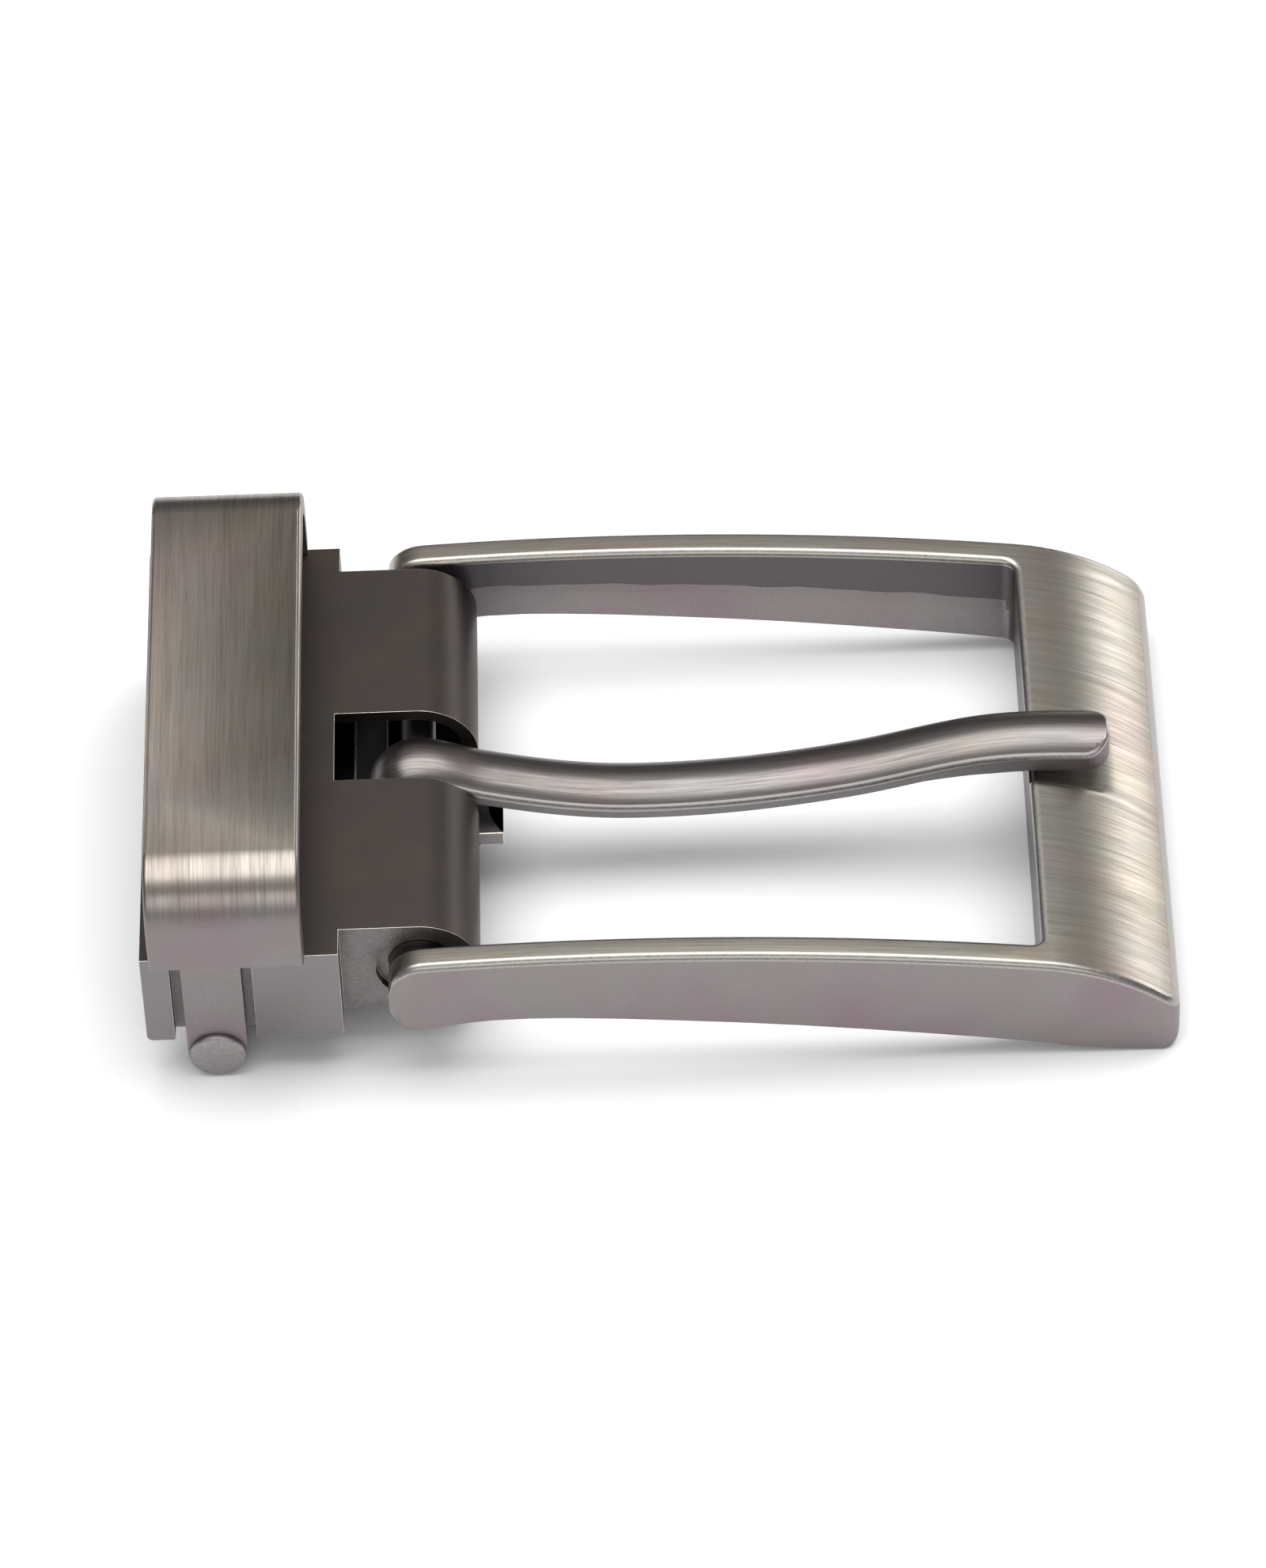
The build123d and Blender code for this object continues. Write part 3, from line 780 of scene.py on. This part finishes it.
wide_steps = [y * MM for y in (5.0, 7.0, 9.0, 11.0, 13.0, 15.0, 17.0)]
slice_at(bm, seat_steps + wide_steps + [-y for y in seat_steps[1:] + wide_steps], (0, 1, 0))


def parting_wander(x):
    """How far the uneven parting strays up or down at x."""
    return (0.10 * sin(x * 310) * sin(x * 1130 + 1.0) + 0.03 * sin(x * 3900)) * MM


HALF_LEVEL = 0.5 * MM
ON_WALL = 0.05 * MM
WALL_END = WINDOW_X - 0.3 * MM
for vert in bm.verts:
    x, y, level = vert.co
    top = frame_top(x, y)
    low = between(underside, x)
    on_inner_wall = abs(abs(y) - INNER_Y) < ON_WALL and x < WALL_END
    wander = parting_wander(x) if on_inner_wall else 0.0
    if level > PARTING_HIGH + HALF_LEVEL:
        vert.co.z = top + level
    elif level > PARTING_HIGH - HALF_LEVEL:
        vert.co.z = top + (low - top) * HIGH_SHARE + wander
        if on_inner_wall and x > PARTING_START:
            vert.co.y += PARTING_STEP if y > 0 else -PARTING_STEP
    elif level > PARTING_LOW - HALF_LEVEL:
        vert.co.z = top + (low - top) * LOW_SHARE + wander
    else:
        vert.co.z = low + level - BOTTOM_LEVEL
    vert.co += hinge

# Bosses on the inner faces, which turn in the housing's cheeks.
BOSS_RADIUS = 2.12 * MM
BOSS_END = 16.23 * MM
BOSS_ROOT = 0.4 * MM
boss_base = INNER_Y + BOSS_ROOT
for hand in (-1, 1):
    place = Matrix.Translation((hinge.x, hand * (BOSS_END + boss_base) / 2, hinge.z))
    bmesh.ops.create_cone(
        bm,
        cap_ends=True,
        segments=48,
        radius1=BOSS_RADIUS,
        radius2=BOSS_RADIUS,
        depth=boss_base - BOSS_END,
        matrix=place @ Matrix.Rotation(radians(90), 4, "X"),
    )
bmesh.ops.recalc_face_normals(bm, faces=bm.faces)

# Painted shade: a darker colour for the window's inner walls above the parting step and for the bar's
# wall facing the window.
painted_window_shade = satin_metal(
    "painted_window_shade",
    (0.112, 0.105, 0.112),
    (0.116, 0.105, 0.102),
    (0.116, 0.096, 0.105),
    0.42,
    0.18 * MM,
    0.010 * MM,
)
INSIDE_MARGIN = 0.3 * MM
CORNER_MARGIN = 0.5 * MM
# Faces on the arms' inner walls above the parting, and on the bar's window-side wall, take the painted
# shade.
for face in bm.faces:
    middle = face.calc_center_median() - hinge
    parting = (frame_top(middle.x, middle.y) + between(underside, middle.x)) / 2
    arm_inside = abs(face.normal.y) > 0.4 and abs(middle.y) < INNER_Y + INSIDE_MARGIN
    above_parting = middle.z > parting - INSIDE_MARGIN and middle.x < WINDOW_X + CORNER_MARGIN
    window_end = face.normal.x < -0.6 and 0 < middle.x < WINDOW_X + INSIDE_MARGIN
    if face.material_index != 1 and (arm_inside and above_parting or window_end):
        face.material_index = 2
frame_mesh = bpy.data.meshes.new("frame_casting")
bm.to_mesh(frame_mesh)
bm.free()
frame_mesh.shade_smooth()
frame_mesh.set_sharp_from_angle(angle=radians(40))
note_facing(frame_mesh)
frame_brushed = brushed_metal(
    "frame_brushed", (ALONG, LINE, ALONG), (0.275, 0.258, 0.226), (0.262, 0.240, 0.242), 0.33
)
# Lighter colour on the frame's rounded top rims: buffing plus a painted highlight.
frame_rim_highlight = satin_metal(
    "frame_rim_highlight",
    (0.34, 0.325, 0.305),
    (0.36, 0.33, 0.29),
    (0.34, 0.31, 0.305),
    0.32,
    0.25 * MM,
    0.003 * MM,
)
for finish in (frame_brushed, frame_rim_highlight, painted_window_shade):
    frame_mesh.materials.append(finish)
casting = bpy.data.objects.new("frame_casting", frame_mesh)
bpy.context.scene.collection.objects.link(casting)
casting.modifiers.new("flat_walls", "WEIGHTED_NORMAL").keep_sharp = True
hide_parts("buckle_frame")
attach(casting, "frame")


# ---- Hinge rod ----
# Plain steel pin pressed into the frame's two bosses; the tongue's eye turns on it.
hinge_rod = frame["nodes"]["hinge_rod"]
hinge_rod.data.materials.clear()
hinge_rod.data.materials.append(pin_satin)


# ---- Tongue ----
# Steel blade with a crowned top, its root curled round the hinge rod and its tip rounded off.
TONGUE_HALF = 2.3 * MM
CROWN_TOP = 1.3 * MM
CROWN_EDGE = 0.35 * MM
EYE_MIDDLE = 2.21 * MM
TIP_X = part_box("tongue")[1].x - hinge.x
CURL = radians(262) * EYE_MIDDLE
crown_rise = CROWN_TOP - CROWN_EDGE
crown_radius = (TONGUE_HALF**2 + crown_rise**2) / (2 * crown_rise)
TIP_CORNER = 1.9 * MM
TOP_RIM = 0.25 * MM
LOW_RIM = 0.30 * MM
UNDER_EYE = -0.9 * MM
UNDER_NECK_RISE = 0.15 * MM
UNDER_LANDING_DROP = 0.45 * MM

# Middle line of the blade, (x, height) from the hinge axis in mm, and its slope at each point.
middle_points = [(0, 2.21), (4.6, 0.75), (15.0, -1.15), (31.0, 0.35), (40.5, 2.60), (50.1, 2.55)]
middle_points = [Vector(point) * MM for point in middle_points]
middle_slopes = [0.0, -0.285, -0.03, 0.20, 0.13, -0.03]


def ramp_up(x, start, run):
    """Share from 0 to 1 as x passes from start over the run."""
    return min(1.0, max(0.0, (x - start) / run))


def blade_line(x):
    """Height and slope of the blade's middle line at x."""
    for index in range(len(middle_points) - 1):
        start, end = middle_points[index], middle_points[index + 1]
        if x <= end.x:
            break
    run = end.x - start.x
    t = (x - start.x) / run
    rise0, rise1 = middle_slopes[index] * run, middle_slopes[index + 1] * run
    height = (
        start.y * (2 * t**3 - 3 * t**2 + 1)
        + rise0 * (t**3 - 2 * t**2 + t)
        + end.y * (3 * t**2 - 2 * t**3)
        + rise1 * (t**3 - t**2)
    )
    slope = (
        start.y * (6 * t**2 - 6 * t)
        + rise0 * (3 * t**2 - 4 * t + 1)
        + end.y * (6 * t - 6 * t**2)
        + rise1 * (3 * t**2 - 2 * t)
    ) / run
    return height, slope


bm = bmesh.new()
outline = [(-CURL, -TONGUE_HALF), (TIP_X, -TONGUE_HALF), (TIP_X, TONGUE_HALF), (-CURL, TONGUE_HALF)]
corners = [bm.verts.new((x, y, TOP_LEVEL)) for x, y in outline]
bm.faces.new(corners)
bmesh.ops.bevel(
    bm, geom=corners[1:3], offset=TIP_CORNER, segments=7, profile=0.5, affect="VERTICES", material=-1
)
lower_levels(bm, (BOTTOM_LEVEL,))
# The top rim takes the lighter rim finish, which paints a highlight along it.
for face in round_rim(bm, TOP_LEVEL, TOP_RIM, 3):
    face.material_index = 1
round_rim(bm, BOTTOM_LEVEL, LOW_RIM, 3)
curl_steps = [-CURL * step / 34 for step in range(34)]
blade_steps = [step * (TIP_X - 2.2 * MM) / 60 for step in range(1, 61)]
tip_steps = [TIP_X - x * MM for x in (1.6, 1.1, 0.7)]
slice_at(bm, curl_steps + blade_steps + tip_steps, (1, 0, 0))
slice_at(bm, [TONGUE_HALF * share / 8 for share in range(-6, 7)], (0, 1, 0))
for vert in bm.verts:
    x, y, level = vert.co
    crown = CROWN_EDGE + sqrt(crown_radius**2 - y**2) - (crown_radius - crown_rise)
    neck = ramp_up(x, 0.5 * MM, 4.5 * MM)
    landing = ramp_up(x, 36.0 * MM, 5.0 * MM)
    under = UNDER_EYE + UNDER_NECK_RISE * neck - UNDER_LANDING_DROP * landing
    offset = crown + level if level > BOTTOM_LEVEL / 2 else under + level - BOTTOM_LEVEL
    if x < 0:
        turn = -x / EYE_MIDDLE
        reach = EYE_MIDDLE + offset
        vert.co = hinge + Vector((-reach * sin(turn), y, reach * cos(turn)))
    else:
        height, slope = blade_line(x)
        stretch = sqrt(1 + slope**2)
        vert.co = hinge + Vector((x, y, height + offset * stretch))
bmesh.ops.recalc_face_normals(bm, faces=bm.faces)
tongue_mesh = bpy.data.meshes.new("crowned_tongue")
bm.to_mesh(tongue_mesh)
bm.free()
tongue_mesh.shade_smooth()
tongue_mesh.set_sharp_from_angle(angle=radians(50))
note_facing(tongue_mesh)
tongue_satin = brushed_metal(
    "tongue_satin", (ALONG, LINE, ALONG), (0.165, 0.156, 0.151), (0.205, 0.198, 0.198), 0.33, 0.003 * MM
)
# Lighter colour on the tongue's rounded top edges: buffing plus a painted highlight.
tongue_rim_highlight = satin_metal(
    "tongue_rim_highlight",
    (0.36, 0.345, 0.335),
    (0.37, 0.345, 0.315),
    (0.36, 0.33, 0.33),
    0.32,
    0.25 * MM,
    0.003 * MM,
)
for finish in (tongue_satin, tongue_rim_highlight):
    tongue_mesh.materials.append(finish)
tongue = bpy.data.objects.new("crowned_tongue", tongue_mesh)
bpy.context.scene.collection.objects.link(tongue)
tongue.modifiers.new("flat_sides", "WEIGHTED_NORMAL").keep_sharp = True
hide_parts("tongue")
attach(tongue, "tongue")


# ---- Clamp flap ----
# Toothed plate that grips the strap, hinged on the keeper's rod. Its plate is dark; the forked
# lip that shows under the nose is satin.
flap_satin = satin_metal(
    "flap_satin",
    (0.045, 0.042, 0.042),
    (0.05, 0.043, 0.040),
    (0.045, 0.040, 0.041),
    0.40,
    0.15 * MM,
    0.006 * MM,
)
# The flap's rounded edges take the rubbed edge colour, with its painted highlight.
flap = copy_of_node(
    "clamp_flap", "flap", 0.14 * MM, 3, [flap_satin, pin_satin, rubbed_edge_highlight]
)
LIP_COVERED = 0.5 * MM
lip_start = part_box("housing_shell")[1].x - LIP_COVERED
paint_faces(flap.data, lambda face: 1 if face.center.x > lip_start else 0)
